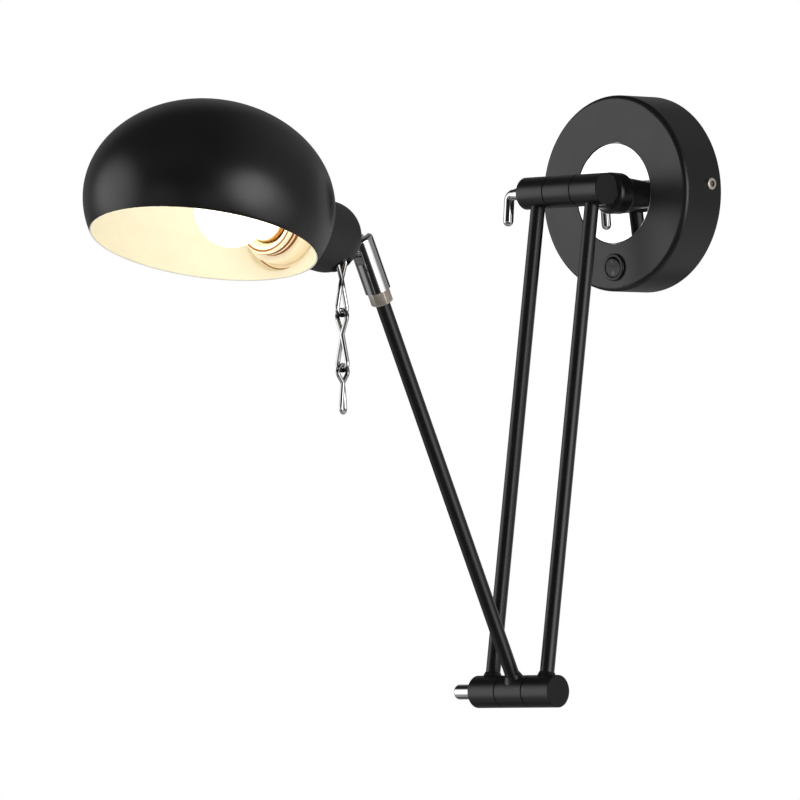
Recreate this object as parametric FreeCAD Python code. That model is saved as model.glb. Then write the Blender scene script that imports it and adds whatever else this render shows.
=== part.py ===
import FreeCAD
import Part

import math
import os

# Swing arm wall lamp with a round canopy, twin lower arms, one fore arm and a dome shade.
# Millimetres. The wall is the plane y = 0 and the lamp stands out along -Y, with X to the right and Z up.
# The origin is the middle of the canopy's back.

# Pose at rest, in degrees
arm_lean = 9.0              # twin arms, out from straight down
fore_lean = 26.0            # fore arm, out from straight up
head_turn = 7.0             # head, round the fore arm
socket_rise = 8.4           # lamp socket, front end above level
lever_lean = 5.0            # clamp lever, out from straight down
lock_nut_turn = 39.5        # lock nut, round the fore arm

# Fits and gaps
running_clear = 0.05        # shaft in a bore that turns
loose_clear = 0.3           # parts that pass each other
side_clear = 0.2            # each side of a tongue in its slot

# Canopy
canopy_radius = 61.0
canopy_depth = 32.0
canopy_wall = 1.5
canopy_edge = 3.0           # round of the front edge
window_radius = 31.5        # opening in front of the mirror
mirror_radius = 36.0
mirror_thickness = 1.5
mirror_sink = 0.3           # raised plate behind the canopy's front
mirror_edge = 0.6           # round of the raised plate
stud_radius = 1.25
stud_length = 6.0
stud_count = 3
stud_nut_flats = 5.0
stud_nut_height = 2.0

# Wall bracket and what is on it
bracket_width = 20.0
bracket_thickness = 1.5
bracket_gap = 0.5           # ear to canopy wall
ear_depth = 16.0
slot_spacing = 70.0
slot_width = 4.5
slot_length = 14.0
cable_hole_radius = 6.0
side_screw_radius = 2.0
side_screw_head_radius = 3.75
side_screw_head_height = 1.8
side_screw_socket_radius = 2.0
side_screw_socket_depth = 1.2
side_screw_rise = 3.8
side_screw_inset = 9.8      # from the wall
earth_screw_place = 16.0
earth_screw_radius = 2.0
earth_screw_head_radius = 3.6
earth_screw_head_height = 2.4
block_width = 12.0
block_depth = 11.0
block_length = 24.0
block_place = 11.0          # near side of the terminal block
block_poles = 3
block_bore_radius = 1.6

# Rocker switch in the canopy
switch_drop = 46.0
bezel_radius = 8.6
bezel_height = 1.6
switch_radius = 7.6
switch_depth = 15.0         # behind the canopy's face
switch_nut_radius = 9.6
switch_nut_height = 3.0
rocker_radius = 6.4
rocker_clear = 0.25
rocker_sink = 2.6           # pivot below the bezel's front
rocker_valley = 2.4         # middle of the rocker above its pivot
rocker_base = 3.2           # flat underside below the pivot
rocker_throw = 7.0          # degrees each way
rocker_pin_radius = 1.0
blade_width = 4.8
blade_thickness = 0.8
blade_length = 7.0
blade_spacing = 7.0

# Swivel post
collar_radius = 13.0
collar_height = 7.3
collar_edge = 3.5
stem_radius = 6.0
stem_bore_radius = 2.0      # way for the wires
neck_base_radius = 10.5
neck_top_radius = 7.0
spigot_radius = 4.0
spigot_depth = 4.0
friction_washer_radius = 10.5
friction_washer_thickness = 1.0
spring_washer_radius = 9.5
spring_washer_thickness = 1.5
stem_nut_flats = 17.0
stem_nut_height = 6.0
stem_tail = 2.0             # thread past the nut

# Clamp barrels
shoulder_reach = 75.0       # upper barrel, out from the wall
barrel_radius = 10.0
segment_length = 22.0
washer_thickness = 0.75
washer_inset = 0.5          # washers below the barrel's surface
barrel_edge = 0.3
bolt_radius = 4.0
nose_radius = 2.5           # thread that the lever and the knob turn on
nose_length = 8.0
blind_wall = 5.0            # closed end of a right knuckle
lever_hub_radius = 3.75
lever_hub_length = 9.0
lever_radius = 3.2
lever_run = 1.6             # straight part between hub and bend
lever_bend = 3.8
lever_drop = 12.8           # straight leg of the lever
knob_radius = 4.6
knob_length = 17.5
knob_edge = 2.0

# Arms
arm_length = 312.0          # shoulder axis to elbow axis
tube_radius = 4.5
tube_wall = 1.0
tube_seat = 5.5             # tube end to barrel axis
weld_radius = 6.6
weld_rise = 1.8             # bead above the barrel
weld_top = 0.4              # bead round the tube at its top
pin_reach = 299.5           # elbow axis to tilt pin

# Clevis, lock nut and tongue
clevis_radius = 7.9
clevis_above = 6.5          # pin to top
clevis_below = 28.5         # pin to foot
clevis_edge = 2.0
clevis_socket = 14.0        # depth that takes the tube
slot_gap = 5.2
slot_below = 8.5            # pin to the slot's floor
tilt_pin_radius = 2.0
lock_nut_flats = 12.0
lock_nut_height = 9.0
lock_nut_chamfer = 0.6
tongue_eye = 6.0
tongue_neck = 4.2           # half height of the neck
tongue_flange_radius = 5.0
tongue_flange = 1.6
tongue_stud_radius = 3.0
tongue_nut_flats = 9.0
tongue_nut_height = 3.5

# Socket cup
cup_radius = 21.7
cup_wall = 1.2
cup_reach = 36.3            # pin to the middle of its round end
cup_flat = 0.6              # flat cut on the round end

# Shade, part of an ellipsoid of revolution
dome_radius = 74.9
dome_height = 60.1
dome_skirt = 25.6           # rim below the widest circle
dome_pitch = 8.0            # dome axis against the socket, degrees
dome_wall = 1.0
seat_radius = 29.5          # flat boss that the cup is clamped on
seat_reach = 74.0           # pin to the inside of the boss
seat_sink = 2.0             # inside of the boss, in from the dome's back
seat_sleeve = 30.0
seat_edge = 3.0             # round of the boss

# Lamp holder and bulb
holder_radius = 20.5
holder_gap = 4.7            # its back, out from the middle of the cup's round end
holder_proud = 19.0         # its mouth, out from the seat
mouth_radius = 15.9
mouth_depth = 3.0
shell_radius = 14.2
shell_wall = 0.5
shell_sink = 6.0            # bottom of the screw socket, back from the seat
holder_thread_count = 3
holder_thread_pitch = 2.2
holder_thread_depth = 0.9
ring_radius = 24.2
ring_depth = 10.0
contact_radius = 4.0
contact_height = 2.2
bulb_proud = 51.4           # middle of the globe, out from the seat
bulb_radius = 22.4
bulb_wall = 1.0
bulb_neck_hold = 1.5        # neck inside its cap
cap_radius = 13.2
cap_wall = 0.6
cap_length = 22.0
tip_radius = 4.8
tip_height = 2.0

# Pull chain
bush_side = 10.0            # right of the socket's middle plane
bush_reach = 32.3           # pin to the chain, along the socket
eyelet_bore = 5.3
eyelet_wall = 0.7
eyelet_proud = 0.5
eyelet_depth = 2.0
wire_radius = 1.4
loop_radius = 4.0           # to the middle of the wire
eye_loop_radius = 3.4       # loop that passes through the eyelet
eye_loop = 15.0             # waist to the outside of that loop
upper_loop = 16.0           # waist to the outside of the second link's upper loop
lower_loop = 23.0           # waist to the outside of the lower loop
end_upper_loop = 12.0
end_lower_loop = 19.0
end_loop_radius = 2.6
end_loop_turn = 20.0        # lower loop of the end link, round the chain
waist_drop = 7.3            # eyelet to the first waist
yoke_width = 6.2
yoke_bar_radius = 0.8
yoke_cheek = 1.3
yoke_roof = 1.8
plunger_radius = 1.5
plunger_hold = 3.0          # plunger left in its bore at full pull
pull_travel = 6.0
pull_switch_width = 11.0
pull_switch_height = 12.0
pull_switch_depth = 14.0    # from the holder's back

# Directions and frames
X_AXIS = FreeCAD.Vector(1, 0, 0)
Y_AXIS = FreeCAD.Vector(0, 1, 0)
Z_AXIS = FreeCAD.Vector(0, 0, 1)
ORIGIN = FreeCAD.Vector(0, 0, 0)


def point(x, y, z):
    return FreeCAD.Vector(x, y, z)


def frame(place, axis=Z_AXIS, degrees=0.0):
    return FreeCAD.Placement(place, FreeCAD.Rotation(axis, degrees))


wall_frame = frame(ORIGIN)
arm_frame = frame(point(0, -shoulder_reach, 0), X_AXIS, -arm_lean)
elbow = arm_frame.multVec(point(0, 0, -arm_length))
fore_frame = frame(elbow, X_AXIS, fore_lean)
head_frame = fore_frame.multiply(frame(point(0, 0, pin_reach), Z_AXIS, head_turn))
shade_frame = head_frame.multiply(frame(ORIGIN, X_AXIS, -(fore_lean + socket_rise)))
dome_reach = seat_reach + dome_radius - seat_sink
dome_frame = frame(point(0, -dome_reach, 0), X_AXIS, -dome_pitch)

# Places that follow from the sizes
canopy_front = -canopy_depth
mirror_front = canopy_front + canopy_wall
mirror_back = mirror_front + mirror_thickness
mirror_face = canopy_front + mirror_sink
collar_front = mirror_face - collar_height
knuckle_inner = segment_length / 2 + washer_thickness
knuckle_middle = knuckle_inner + segment_length / 2
barrel_end = knuckle_inner + segment_length
washer_radius = barrel_radius - washer_inset
bush_drop = math.sqrt(cup_radius ** 2 - bush_side ** 2 - (cup_reach - bush_reach) ** 2)
chain_frame = frame(shade_frame.multVec(point(bush_side, -bush_reach, -bush_drop)))
holder_back = cup_reach + holder_gap
holder_mouth = seat_reach + holder_proud
shell_floor = seat_reach - shell_sink
bulb_reach = seat_reach + bulb_proud
wire = 2 * wire_radius
link_step = wire + loose_clear

os.makedirs("parts", exist_ok=True)


# Basic solids
def rod(radius, length, base, axis):
    return Part.makeCylinder(radius, length, base, axis)


def tube(outer, inner, length, base, axis):
    return rod(outer, length, base, axis).cut(rod(inner, length, base, axis))


def block(low, high):
    size = high - low
    return Part.makeBox(size.x, size.y, size.z, low)


def hexagon(flats, length, base, axis):
    corner = flats / math.sqrt(3)
    angles = [k * math.pi / 3 for k in range(6)]
    corners = [point(corner * math.cos(angle), corner * math.sin(angle), 0) for angle in angles]
    prism = Part.Face(Part.makePolygon(corners + corners[:1])).extrude(Z_AXIS * length)
    prism.Placement = FreeCAD.Placement(base, FreeCAD.Rotation(Z_AXIS, axis))
    return prism


def hex_nut(flats, bore, length, base, axis):
    return hexagon(flats, length, base, axis).cut(rod(bore, length, base, axis))


def outline(start, *moves):
    """Closed wire: a move to one point is a line, and a move of two points is an arc through the first."""
    edges = []
    here = start
    for move in moves + (start,):
        if isinstance(move, tuple):
            edges.append(Part.Arc(here, move[0], move[1]).toShape())
            here = move[1]
        elif (move - here).Length > 1e-7:
            edges.append(Part.LineSegment(here, move).toShape())
            here = move
    return Part.Wire(edges)


def spun(profile, base, axis):
    return Part.Face(profile).revolve(base, axis, 360)


def round_edges(solid, radius, chosen):
    return solid.makeFillet(radius, [edge for edge in solid.Edges if chosen(edge)])


def circles_at(axis_index, place, radius):
    """Test for the round edges that lie square to an axis at one place and with one radius."""
    def chosen(edge):
        curve = edge.Curve
        if not isinstance(curve, Part.Circle) or abs(curve.Radius - radius) > 1e-4:
            return False
        return abs(curve.Center[axis_index] - place) < 1e-4
    return chosen


def placed(shape, where):
    copy = shape.copy()
    copy.Placement = where.multiply(copy.Placement)
    return copy


def save(node, where, *solids):
    shapes = [placed(solid, where) for solid in solids]
    shape = shapes[0] if len(shapes) == 1 else Part.makeCompound(shapes)
    shape.exportStep("parts/" + node + ".step")


# Canopy
def canopy_side_holes(radius):
    length = 2 * (canopy_radius + side_screw_head_height)
    base = point(-length / 2, -side_screw_inset, side_screw_rise)
    return rod(radius, length, base, X_AXIS)


def stud_places():
    circle = (window_radius + mirror_radius) / 2
    angles = [math.pi / 2 + k * 2 * math.pi / stud_count for k in range(stud_count)]
    return [point(circle * math.cos(a), 0, circle * math.sin(a)) for a in angles]


def canopy_cover():
    drum = rod(canopy_radius, canopy_depth, ORIGIN, -Y_AXIS)
    drum = round_edges(drum, canopy_edge, circles_at(1, canopy_front, canopy_radius))
    hollow = rod(canopy_radius - canopy_wall, canopy_depth - canopy_wall, ORIGIN, -Y_AXIS)
    inner_edge = max(canopy_edge - canopy_wall, canopy_wall / 2)
    hollow = round_edges(hollow, inner_edge, circles_at(1, mirror_front, canopy_radius - canopy_wall))
    cover = drum.cut(hollow)
    cover = cover.cut(rod(window_radius, canopy_depth, ORIGIN, -Y_AXIS))
    cover = cover.cut(rod(switch_radius + side_clear, canopy_depth, point(0, 0, -switch_drop), -Y_AXIS))
    return cover.cut(canopy_side_holes(side_screw_radius + side_clear))


def mirror_disc():
    plate_radius = window_radius - side_clear
    depth = mirror_back - mirror_face
    plate = rod(plate_radius, depth, point(0, mirror_back, 0), -Y_AXIS)
    plate = round_edges(plate, mirror_edge, circles_at(1, mirror_face, plate_radius))
    disc = rod(mirror_radius, mirror_thickness, point(0, mirror_back, 0), -Y_AXIS)
    disc = disc.fuse(plate).removeSplitter()
    disc = disc.cut(rod(stem_radius + running_clear, depth, point(0, mirror_back, 0), -Y_AXIS))
    for place in stud_places():
        back = place + Y_AXIS * mirror_back
        disc = disc.cut(rod(stud_radius + side_clear, mirror_thickness, back, -Y_AXIS))
    return disc


def disc_studs():
    return [rod(stud_radius, stud_length, place + Y_AXIS * mirror_front, Y_AXIS) for place in stud_places()]


def disc_nuts():
    bore = stud_radius + running_clear
    return [hex_nut(stud_nut_flats, bore, stud_nut_height, place + Y_AXIS * mirror_back, Y_AXIS)
            for place in stud_places()]


# Wall bracket
ear_face = math.sqrt((canopy_radius - canopy_wall) ** 2 - (bracket_width / 2) ** 2) - bracket_gap
half_width = bracket_width / 2


def bracket_slot(middle):
    straight = (slot_length - slot_width) / 2
    low = point(middle - straight, -bracket_thickness, -slot_width / 2)
    high = point(middle + straight, 0, slot_width / 2)
    slot = block(low, high)
    for side in (-1, 1):
        end = point(middle + side * straight, 0, 0)
        slot = slot.fuse(rod(slot_width / 2, bracket_thickness, end, -Y_AXIS))
    return slot.removeSplitter()


def wall_bracket():
    bar = block(point(-ear_face, -bracket_thickness, -half_width), point(ear_face, 0, half_width))
    for side in (-1, 1):
        near = side * ear_face
        far = side * (ear_face - bracket_thickness)
        low = point(min(near, far), -ear_depth, -half_width)
        bar = bar.fuse(block(low, point(max(near, far), 0, half_width)))
    bar = bar.removeSplitter()
    for side in (-1, 1):
        bar = bar.cut(bracket_slot(side * slot_spacing / 2))
    bar = bar.cut(rod(cable_hole_radius, bracket_thickness, ORIGIN, -Y_AXIS))
    earth_bore = earth_screw_radius + running_clear
    bar = bar.cut(rod(earth_bore, bracket_thickness, point(-earth_screw_place, 0, 0), -Y_AXIS))
    return bar.cut(canopy_side_holes(side_screw_radius + running_clear))


def side_screw(side):
    def on_axis(distance):
        return point(side * distance, -side_screw_inset, side_screw_rise)
    tip = ear_face - bracket_thickness
    crown = canopy_radius + side_screw_head_height
    seat = canopy_radius - canopy_wall
    shank = rod(side_screw_radius, crown - tip, on_axis(tip), X_AXIS * side)
    head = rod(side_screw_head_radius, crown - seat, on_axis(seat), X_AXIS * side)
    head = head.cut(rod(canopy_radius, canopy_depth, ORIGIN, -Y_AXIS))
    socket = rod(side_screw_socket_radius, side_screw_socket_depth, on_axis(crown), X_AXIS * -side)
    return shank.fuse(head).removeSplitter().cut(socket)


def earth_screw():
    place = point(-earth_screw_place, 0, 0)
    shank = rod(earth_screw_radius, bracket_thickness, place, -Y_AXIS)
    head_base = place - Y_AXIS * bracket_thickness
    head = rod(earth_screw_head_radius, earth_screw_head_height, head_base, -Y_AXIS)
    return shank.fuse(head).removeSplitter()


def terminal_block():
    low = point(block_place, -bracket_thickness - block_depth, -block_length / 2)
    body = block(low, point(block_place + block_width, -bracket_thickness, block_length / 2))
    pitch = block_length / block_poles
    for k in range(block_poles):
        height = (k - (block_poles - 1) / 2) * pitch
        middle = -bracket_thickness - block_depth / 2
        body = body.cut(rod(block_bore_radius, block_width, point(block_place, middle, height), X_AXIS))
        screw = point(block_place + block_width / 2, low.y, height)
        body = body.cut(rod(block_bore_radius, block_depth / 2, screw, Y_AXIS))
    return body


# Rocker switch, built with its outward side along +Z from the canopy's face
switch_frame = frame(point(0, canopy_front, -switch_drop), X_AXIS, 90)
rocker_pivot = bezel_height - rocker_sink
pocket_radius = rocker_radius + rocker_clear
pocket_floor = rocker_pivot - rocker_radius - rocker_clear


def switch_body():
    body = rod(switch_radius, switch_depth, point(0, 0, -switch_depth), Z_AXIS)
    bezel = rod(bezel_radius, bezel_height, ORIGIN, Z_AXIS)
    bezel = round_edges(bezel, bezel_height / 2, circles_at(2, bezel_height, bezel_radius))
    body = body.fuse(bezel).removeSplitter()
    body = body.cut(rod(pocket_radius, bezel_height - pocket_floor, point(0, 0, pocket_floor), Z_AXIS))
    return body.cut(rocker_axle(rocker_pin_radius + running_clear))


def rocker_axle(radius):
    half = (pocket_radius + switch_radius) / 2
    return rod(radius, 2 * half, point(-half, 0, rocker_pivot), X_AXIS)


def switch_rocker():
    ball = Part.makeSphere(rocker_radius)
    reach = 2 * rocker_radius
    edge = rocker_valley + reach * math.tan(math.radians(rocker_throw))
    corners = [point(-reach, 0, rocker_valley),
               point(-reach, reach, edge), point(-reach, reach, reach + edge),
               point(-reach, -reach, reach + edge), point(-reach, -reach, edge)]
    above = Part.Face(Part.makePolygon(corners + corners[:1])).extrude(X_AXIS * 2 * reach)
    below = block(point(-reach, -reach, -reach), point(reach, reach, -rocker_base))
    bore = rod(rocker_pin_radius + running_clear, 2 * reach, point(-reach, 0, 0), X_AXIS)
    rocker = ball.cut(above).cut(below).cut(bore)
    return placed(rocker, frame(point(0, 0, rocker_pivot), X_AXIS, rocker_throw))


def switch_nut():
    height = switch_nut_height
    base = point(0, 0, -canopy_wall - height)
    return tube(switch_nut_radius, switch_radius + running_clear, height, base, Z_AXIS)


def switch_blades():
    blades = []
    for side in (-1, 1):
        middle = side * blade_spacing / 2
        low = point(middle - blade_thickness / 2, -blade_width / 2, -switch_depth - blade_length)
        blades.append(block(low, point(middle + blade_thickness / 2, blade_width / 2, -switch_depth)))
    return blades


# Swivel post
def swivel_collar():
    bore = stem_radius + running_clear
    collar = rod(collar_radius, collar_height, point(0, mirror_face, 0), -Y_AXIS)
    collar = round_edges(collar, collar_edge, circles_at(1, collar_front, collar_radius))
    return collar.cut(rod(bore, collar_height, point(0, mirror_face, 0), -Y_AXIS))


washer_stack = mirror_back + friction_washer_thickness
nut_face = washer_stack + spring_washer_thickness
stem_end = nut_face + stem_nut_height + stem_tail
neck_start = collar_front - loose_clear


def swivel_post():
    neck_length = shoulder_reach + neck_start
    neck = Part.makeCone(neck_base_radius, neck_top_radius, neck_length, point(0, neck_start, 0), -Y_AXIS)
    hub_space = rod(barrel_radius, segment_length, point(-segment_length / 2, -shoulder_reach, 0), X_AXIS)
    neck = neck.cut(hub_space)
    neck = max(neck.Solids, key=lambda solid: solid.CenterOfMass.y)
    stem = rod(stem_radius, stem_end - neck_start, point(0, neck_start, 0), Y_AXIS)
    spigot_end = point(0, -shoulder_reach + barrel_radius - spigot_depth, 0)
    spigot = rod(spigot_radius, neck_start - spigot_end.y, spigot_end, Y_AXIS)
    post = neck.fuse(stem).fuse(spigot).removeSplitter()
    return post.cut(rod(stem_bore_radius, stem_end - spigot_end.y, spigot_end, Y_AXIS))


def friction_washer():
    bore = stem_radius + running_clear
    return tube(friction_washer_radius, bore, friction_washer_thickness, point(0, mirror_back, 0), Y_AXIS)


def spring_washer():
    bore = stem_radius + running_clear
    return tube(spring_washer_radius, bore, spring_washer_thickness, point(0, washer_stack, 0), Y_AXIS)


def stem_nut():
    bore = stem_radius + running_clear
    return hex_nut(stem_nut_flats, bore, stem_nut_height, point(0, nut_face, 0), Y_AXIS)


# Clamp barrels: each frame has X along the barrel, and a tube leaves along the given way
def segment(start, length):
    body = rod(barrel_radius, length, point(start, 0, 0), X_AXIS)
    ends = [edge for edge in body.Edges if isinstance(edge.Curve, Part.Circle)]
    return body.makeChamfer(barrel_edge, ends)


def tube_socket(middle, way):
    seat = Z_AXIS * way * tube_seat + X_AXIS * middle
    return rod(tube_radius + running_clear, barrel_radius, seat, Z_AXIS * way)


def weld_bead(middle, way):
    foot = math.sqrt(barrel_radius ** 2 - weld_radius ** 2)
    base = Z_AXIS * way * foot + X_AXIS * middle
    height = barrel_radius + weld_rise - foot
    return Part.makeCone(weld_radius, tube_radius + weld_top, height, base, Z_AXIS * way)


def knuckle(side, way, welded):
    middle = side * knuckle_middle
    body = segment(middle - segment_length / 2, segment_length)
    if welded:
        body = body.fuse(weld_bead(middle, way)).removeSplitter()
    body = body.cut(tube_socket(middle, way))
    bore_length = segment_length if side < 0 else segment_length - blind_wall
    start = -barrel_end if side < 0 else knuckle_inner
    return body.cut(rod(bolt_radius + running_clear, bore_length, point(start, 0, 0), X_AXIS))


def hub_bore():
    return rod(bolt_radius + running_clear, segment_length, point(-segment_length / 2, 0, 0), X_AXIS)


def hub_blank():
    return segment(-segment_length / 2, segment_length)


def upper_hub():
    floor = point(0, barrel_radius - spigot_depth, 0)
    spigot_hole = rod(spigot_radius + running_clear, barrel_radius, floor, Y_AXIS)
    return hub_blank().cut(hub_bore()).cut(spigot_hole)


def lower_hub():
    body = hub_blank().fuse(weld_bead(0, 1)).removeSplitter()
    return body.cut(hub_bore()).cut(tube_socket(0, 1))


def clamp_bolt():
    end = barrel_end - blind_wall - loose_clear
    shank = rod(bolt_radius, end + barrel_end, point(-barrel_end, 0, 0), X_AXIS)
    nose = rod(nose_radius, nose_length, point(-barrel_end, 0, 0), -X_AXIS)
    return shank.fuse(nose).removeSplitter()


def barrel_washers():
    starts = (-knuckle_inner, knuckle_inner - washer_thickness)
    bore = bolt_radius + running_clear
    return [tube(washer_radius, bore, washer_thickness, point(x, 0, 0), X_AXIS) for x in starts]


def nose_bore(length):
    return rod(nose_radius + running_clear, length, point(-barrel_end, 0, 0), -X_AXIS)


def clamp_lever():
    hub_end = -barrel_end - lever_hub_length
    corner = hub_end - lever_run - lever_bend
    half = lever_bend * math.sqrt(0.5)
    start = point(hub_end, 0, 0)
    bend_start = start - X_AXIS * lever_run
    bend_end = point(corner, 0, -lever_bend)
    mid = point(corner + lever_bend - half, 0, -lever_bend + half)
    path = Part.Wire([Part.LineSegment(start, bend_start).toShape(),
                      Part.Arc(bend_start, mid, bend_end).toShape(),
                      Part.LineSegment(bend_end, bend_end - Z_AXIS * lever_drop).toShape()])
    profile = Part.Wire([Part.Circle(start, X_AXIS, lever_radius).toShape()])
    arm = path.makePipeShell([profile], True, False)
    tip = Part.makeSphere(lever_radius, bend_end - Z_AXIS * lever_drop)
    boss = rod(lever_hub_radius, lever_hub_length, point(-barrel_end, 0, 0), -X_AXIS)
    boss = round_edges(boss, lever_hub_radius - lever_radius, circles_at(0, hub_end, lever_hub_radius))
    lever = boss.fuse(arm).fuse(tip).removeSplitter()
    return lever.cut(nose_bore(nose_length + loose_clear))


def clamp_knob():
    body = rod(knob_radius, knob_length, point(-barrel_end, 0, 0), -X_AXIS)
    body = round_edges(body, knob_edge, circles_at(0, -barrel_end - knob_length, knob_radius))
    return body.cut(nose_bore(nose_length + loose_clear))


# Tubes
def straight_tube(middle, start, length):
    return tube(tube_radius, tube_radius - tube_wall, length, point(middle, 0, start), Z_AXIS)


twin_length = arm_length - 2 * tube_seat
fore_end = pin_reach - clevis_below + clevis_socket
nut_start = pin_reach - clevis_below - lock_nut_height


def lock_nut():
    base = point(0, 0, nut_start)
    prism = hexagon(lock_nut_flats, lock_nut_height, base, Z_AXIS)
    corner = lock_nut_flats / math.sqrt(3)
    middle = nut_start + lock_nut_height / 2
    slope = lock_nut_height / 2 - lock_nut_chamfer
    for way in (-1, 1):
        trim = Part.makeCone(corner + slope, corner - lock_nut_chamfer, slope + lock_nut_chamfer,
                             point(0, 0, middle), Z_AXIS * way)
        side = rod(2 * corner, lock_nut_height / 2, point(0, 0, middle), Z_AXIS * way).cut(trim)
        prism = prism.cut(side)
    return prism.cut(rod(tube_radius + running_clear, lock_nut_height, base, Z_AXIS))


# Clevis, in the head's frame with the pin at the origin and the fore arm along Z
def clevis_blank():
    blank = rod(clevis_radius, clevis_above + clevis_below, point(0, 0, -clevis_below), Z_AXIS)
    return round_edges(blank, clevis_edge, circles_at(2, clevis_above, clevis_radius))


def tilt_axle(radius):
    return rod(radius, 4 * clevis_radius, point(-2 * clevis_radius, 0, 0), X_AXIS)


def clevis():
    body = clevis_blank()
    reach = 2 * clevis_radius
    low = point(-slot_gap / 2, -reach, -slot_below)
    body = body.cut(block(low, point(slot_gap / 2, reach, 2 * clevis_above)))
    body = body.cut(tilt_axle(tilt_pin_radius))
    return body.cut(rod(tube_radius + running_clear, clevis_socket, point(0, 0, -clevis_below), Z_AXIS))


def tilt_pin():
    return tilt_axle(tilt_pin_radius).common(clevis_blank())


# Lamp head, in the shade's frame with the pin at the origin and the socket along -Y
cup_face = cup_reach - cup_radius + cup_flat
tongue_half = slot_gap / 2 - side_clear
cup_inside = cup_reach - math.sqrt((cup_radius - cup_wall) ** 2 - (tongue_nut_flats / math.sqrt(3)) ** 2)


def tongue():
    eye = rod(tongue_eye, 2 * tongue_half, point(-tongue_half, 0, 0), X_AXIS)
    low = point(-tongue_half, -cup_face + tongue_flange / 2, -tongue_neck)
    neck = block(low, point(tongue_half, 0, tongue_neck))
    flange = rod(tongue_flange_radius, tongue_flange, point(0, -cup_face, 0), Y_AXIS)
    reach = cup_inside + tongue_nut_height - cup_face
    stud = rod(tongue_stud_radius, reach, point(0, -cup_face, 0), -Y_AXIS)
    body = eye.fuse(neck).fuse(flange).fuse(stud).removeSplitter()
    return body.cut(tilt_axle(tilt_pin_radius + running_clear))


def tongue_nut():
    base = point(0, -cup_inside, 0)
    return hex_nut(tongue_nut_flats, tongue_stud_radius + running_clear, tongue_nut_height, base, -Y_AXIS)


def cup_blank(radius):
    middle = point(0, -cup_reach, 0)
    seat = seat_reach - dome_wall
    barrel = rod(radius, seat - cup_reach, middle, -Y_AXIS)
    return Part.makeSphere(radius, middle).fuse(barrel).removeSplitter()


def chain_bore(radius):
    """Upright bore through the cup where the chain leaves it, in the shade's frame."""
    bore = rod(radius, 4 * eyelet_bore, point(0, 0, -2 * eyelet_bore), Z_AXIS)
    return placed(bore, shade_frame.inverse().multiply(chain_frame))


def socket_cup():
    reach = 2 * cup_radius
    seat = -seat_reach + dome_wall
    cup = cup_blank(cup_radius).cut(cup_blank(cup_radius - cup_wall))
    cup = cup.cut(block(point(-reach, -cup_face, -reach), point(reach, cup_reach, reach)))
    cup = cup.cut(block(point(-reach, seat - reach, -reach), point(reach, seat, reach)))
    cup = cup.cut(rod(tongue_stud_radius + running_clear, cup_reach, point(0, 0, 0), -Y_AXIS))
    return cup.cut(chain_bore(eyelet_bore + eyelet_wall + running_clear))


def pull_eyelet():
    ring = chain_bore(eyelet_bore + eyelet_wall).cut(chain_bore(eyelet_bore))
    middle = point(0, -cup_reach, 0)
    outside = Part.makeSphere(cup_radius + eyelet_proud, middle)
    inside = Part.makeSphere(cup_radius - eyelet_depth, middle)
    below = block(point(-cup_reach, -2 * cup_reach, -2 * cup_radius), point(2 * cup_radius, 0, 0))
    return ring.common(outside.cut(inside)).common(below)


def ellipsoid(shrink):
    scale = FreeCAD.Matrix()
    scale.scale(dome_radius - shrink, dome_radius - shrink, dome_height - shrink)
    return placed(Part.makeSphere(1.0).transformGeometry(scale), dome_frame)


def dome_blank(shrink):
    face = -seat_reach + dome_wall - shrink
    boss = rod(seat_radius - shrink, seat_sleeve, point(0, face, 0), -Y_AXIS)
    boss = round_edges(boss, seat_edge - shrink, circles_at(1, face, seat_radius - shrink))
    return ellipsoid(shrink).fuse(boss)


def shade():
    reach = 2 * dome_radius
    below = placed(block(point(-reach, -reach, -reach), point(reach, reach, -dome_skirt)), dome_frame)
    shell = dome_blank(0).cut(dome_blank(dome_wall))
    hole = rod(holder_radius + side_clear, seat_sleeve, point(0, -seat_reach + 2 * dome_wall, 0), -Y_AXIS)
    return shell.cut(hole).cut(below)


def clamp_ring():
    bore = holder_radius + running_clear
    return tube(ring_radius, bore, ring_depth, point(0, -seat_reach, 0), -Y_AXIS)


def lamp_holder():
    body = rod(holder_radius, holder_mouth - holder_back, point(0, -holder_back, 0), -Y_AXIS)
    body = body.cut(rod(shell_radius + running_clear, holder_mouth, point(0, -shell_floor, 0), -Y_AXIS))
    body = body.cut(rod(mouth_radius, mouth_depth, point(0, -holder_mouth, 0), Y_AXIS))
    for k in range(holder_thread_count):
        place = seat_reach + ring_depth + (k + 0.5) * holder_thread_pitch
        groove = tube(2 * holder_radius, holder_radius - holder_thread_depth, holder_thread_pitch / 2,
                      point(0, -place, 0), -Y_AXIS)
        body = body.cut(groove)
    return body


def screw_shell():
    length = holder_mouth - mouth_depth - shell_floor
    return tube(shell_radius, shell_radius - shell_wall, length, point(0, -shell_floor, 0), -Y_AXIS)


def centre_contact():
    return rod(contact_radius, contact_height, point(0, -shell_floor, 0), -Y_AXIS)


tip_start = shell_floor + contact_height
cap_start = tip_start + tip_height
neck_reach = cap_start + cap_length - bulb_neck_hold


def bulb_tip():
    return rod(tip_radius, tip_height, point(0, -tip_start, 0), -Y_AXIS)


def bulb_cap():
    cup = rod(cap_radius, cap_length, point(0, -cap_start, 0), -Y_AXIS)
    hollow = rod(cap_radius - cap_wall, cap_length, point(0, -cap_start - cap_wall, 0), -Y_AXIS)
    return cup.cut(hollow)


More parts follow.
